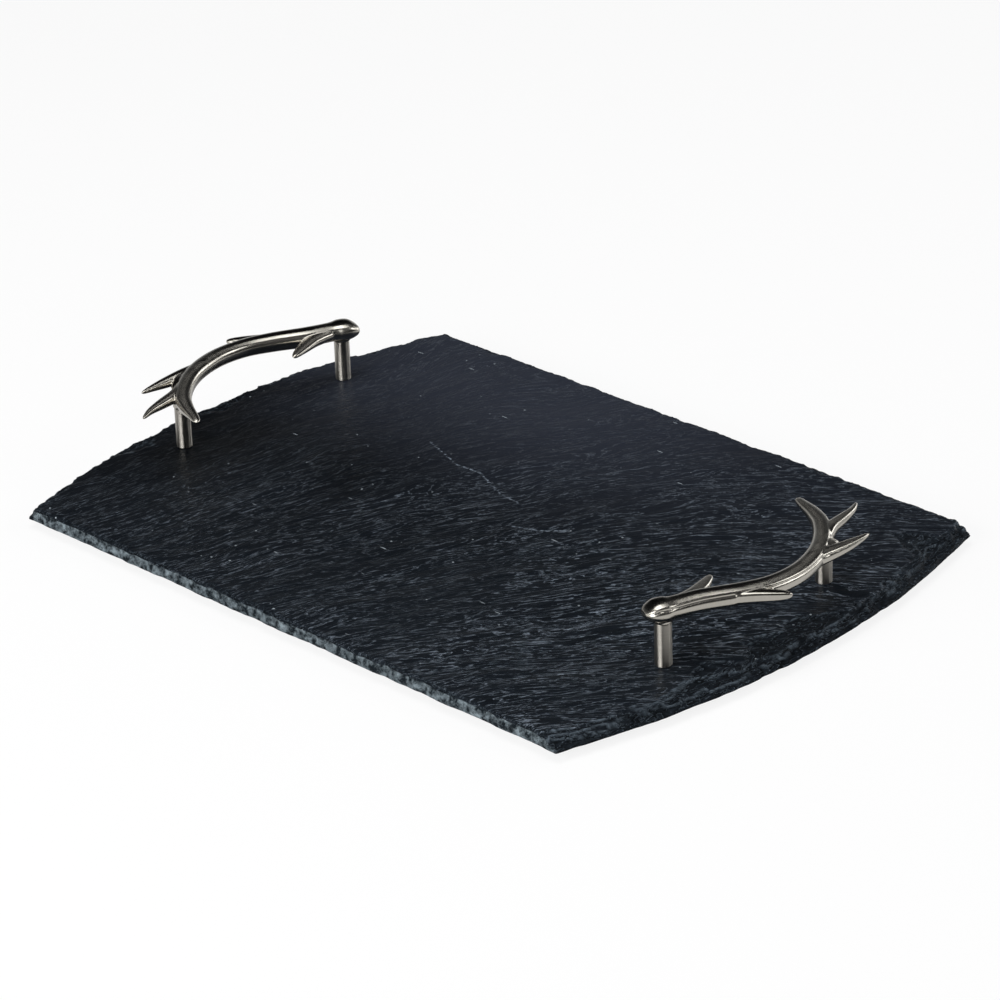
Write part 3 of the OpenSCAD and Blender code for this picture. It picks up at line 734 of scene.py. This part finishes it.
# Satin nickel over a polished casting, brushed across the beam. The strokes are some 0.1 mm wide, drawn
# 0.8 mm wide so that they show.
brush_at = add(tree, "ShaderNodeAttribute", attribute_name="brush").outputs["Vector"]
strokes_at = add(tree, "ShaderNodeMapping", {"Vector": brush_at, "Scale": (1250, 90, 90)}).outputs["Vector"]
strokes = add(tree, "ShaderNodeTexNoise", {
    "Vector": strokes_at, "Scale": 1.0, "Detail": 3.0, "Roughness": 0.6}).outputs["Fac"]
cloud = add(tree, "ShaderNodeTexNoise", {"Vector": brush_at, "Scale": 150.0, "Detail": 2.0}).outputs["Fac"]
shade = add(tree, "ShaderNodeMix", {
    "Factor": strokes, "A": linear("#aeaaa2"), "B": linear("#b9b5ac")}, data_type="RGBA").outputs["Result"]
mixed = add(tree, "ShaderNodeMath", {0: strokes, 1: cloud}, operation="MULTIPLY").outputs["Value"]
wear = add(tree, "ShaderNodeMapRange", {
    "Value": mixed, "From Min": 0.1, "From Max": 0.45, "To Min": 0.23, "To Max": 0.27}).outputs["Result"]
bump = add(tree, "ShaderNodeBump", {
    "Strength": 0.05, "Distance": 0.00004, "Height": strokes}).outputs["Normal"]
along_limb = add(tree, "ShaderNodeAttribute", attribute_name="limb_way").outputs["Vector"]
nickel = add(tree, "ShaderNodeBsdfPrincipled", {
    "Base Color": shade, "Metallic": 1.0, "Roughness": wear, "Normal": bump, "Tangent": along_limb,
    "Anisotropic": 0.82})
add(tree, "ShaderNodeOutputMaterial", {"Surface": nickel.outputs["BSDF"]})
antler_mesh.materials.clear()
antler_mesh.materials.append(antler_nickel)

beam_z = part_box("right_front_post")[1].z + seat_drop * mm
for side, first_post, turn in (("right", "right_front_post", 0), ("left", "left_rear_post", math.pi)):
    low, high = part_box(first_post)
    mesh = antler_mesh.copy()
    at_post = Matrix.Translation(((low.x + high.x) / 2, (low.y + high.y) / 2, beam_z))
    mesh.transform(at_post @ Matrix.Rotation(turn, 4, "Z"))
    antler = bpy.data.objects.new(side + "_antler_cast", mesh)
    bpy.context.scene.collection.objects.link(antler)
    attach(antler, "root")
    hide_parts(side + "_antler")


# Studio. A white sweep for the floor, and soft boxes overhead, in front, left of the camera, at the right
# and behind. The room is white low down and dark above, so that the metal shows something dark.
floor_mesh = bpy.data.meshes.new("floor")
reach = 6.0
floor_mesh.from_pydata(
    [(-reach, -reach, 0), (reach, -reach, 0), (reach, reach, 0), (-reach, reach, 0)], [], [(0, 1, 2, 3)])
floor = bpy.data.objects.new("floor", floor_mesh)
bpy.context.scene.collection.objects.link(floor)
floor_paper = bpy.data.materials.new("paper_sweep")
floor_paper.use_nodes = True
tree = floor_paper.node_tree
tree.nodes.clear()
rays = add(tree, "ShaderNodeLightPath")
paper = add(tree, "ShaderNodeBsdfDiffuse", {"Color": linear("#f4f4f4")}).outputs["BSDF"]
white = add(tree, "ShaderNodeEmission", {"Color": (1, 1, 1, 1), "Strength": 1.0}).outputs["Emission"]
# Metal sees the sweep fade into a dark room some 0.3 to 0.7 m in front of the board's middle
place = add(tree, "ShaderNodeNewGeometry").outputs["Position"]
in_front = add(tree, "ShaderNodeVectorMath", {
    0: place, 1: (away.x, away.y, 0)}, operation="DOT_PRODUCT").outputs["Value"]
fade = add(tree, "ShaderNodeMapRange", {
    "Value": in_front, "From Min": 0.25, "From Max": 0.6, "To Min": 0.82, "To Max": 0.05}).outputs["Result"]
mirrored = add(tree, "ShaderNodeEmission", {"Color": (1, 1, 1, 1), "Strength": fade}).outputs["Emission"]
# The camera sees nearly white paper that keeps some of its own shading, and with it the board's shadow
share_white = add(tree, "ShaderNodeMath", {
    0: rays.outputs["Is Camera Ray"], 1: 0.86}, operation="MULTIPLY").outputs["Value"]
seen = add(tree, "ShaderNodeMixShader", {"Fac": share_white, 1: paper, 2: white}).outputs["Shader"]
sweep = add(tree, "ShaderNodeMixShader", {
    "Fac": rays.outputs["Is Glossy Ray"], 1: seen, 2: mirrored}).outputs["Shader"]
add(tree, "ShaderNodeOutputMaterial", {"Surface": sweep})
floor_mesh.materials.append(floor_paper)

world = bpy.data.worlds.new("studio")
bpy.context.scene.world = world
world.use_nodes = True
tree = world.node_tree
tree.nodes.clear()
rays = add(tree, "ShaderNodeLightPath")
# The camera sees plain white, and metal a room that is lighter behind the board than in front of it
ray_way = add(tree, "ShaderNodeTexCoord").outputs["Generated"]
ray_rise = add(tree, "ShaderNodeSeparateXYZ", {"Vector": ray_way}).outputs["Z"]
room = add(tree, "ShaderNodeValToRGB", {"Fac": ray_rise})
room.color_ramp.elements[0].position = 0.1
room.color_ramp.elements[0].color = linear("#f4f6f8")
room.color_ramp.elements[1].position = 0.26
room.color_ramp.elements[1].color = linear("#15171a")
in_front = add(tree, "ShaderNodeVectorMath", {
    0: ray_way, 1: (away.x, away.y, 0)}, operation="DOT_PRODUCT").outputs["Value"]
in_back = add(tree, "ShaderNodeMapRange", {
    "Value": in_front, "From Min": -0.3, "From Max": 0.3, "To Min": 0.36, "To Max": 0.03}).outputs["Result"]
dim = add(tree, "ShaderNodeBackground", {
    "Color": linear("#c9d0da"), "Strength": 0.08}).outputs["Background"]
mirrored = add(tree, "ShaderNodeBackground", {
    "Color": room.outputs["Color"], "Strength": in_back}).outputs["Background"]
plain = add(tree, "ShaderNodeBackground", {"Color": (1, 1, 1, 1), "Strength": 1.0}).outputs["Background"]
lit = add(tree, "ShaderNodeMixShader", {
    "Fac": rays.outputs["Is Glossy Ray"], 1: dim, 2: mirrored}).outputs["Shader"]
shown = add(tree, "ShaderNodeMixShader", {
    "Fac": rays.outputs["Is Camera Ray"], 1: lit, 2: plain}).outputs["Shader"]
add(tree, "ShaderNodeOutputWorld", {"Surface": shown})

# Places and sizes of the boxes in metres, and their power in watts
for name, place, size, power in (
        ("top_box", (-0.05, -0.15, 1.6), (1.1, 1.1), 15),
        ("front_box", (-0.15, -1.9, 0.8), (1.7, 1.1), 25),
        ("camera_box", (0.3, -1.8, 0.75), (1.3, 1.0), 15),
        ("right_box", (1.25, 1.25, 1.1), (0.8, 0.6), 7),
        ("back_strip", (0.25, 1.9, 0.4), (1.0, 0.45), 6)):
    lamp = bpy.data.lights.new(name, "AREA")
    lamp.shape = "RECTANGLE"
    lamp.size, lamp.size_y = size
    lamp.energy = power
    box = bpy.data.objects.new(name, lamp)
    box.location = place
    box.rotation_euler = (-Vector(place)).to_track_quat("-Z", "Y").to_euler()
    bpy.context.scene.collection.objects.link(box)
bpy.context.scene.view_settings.view_transform = "Standard"
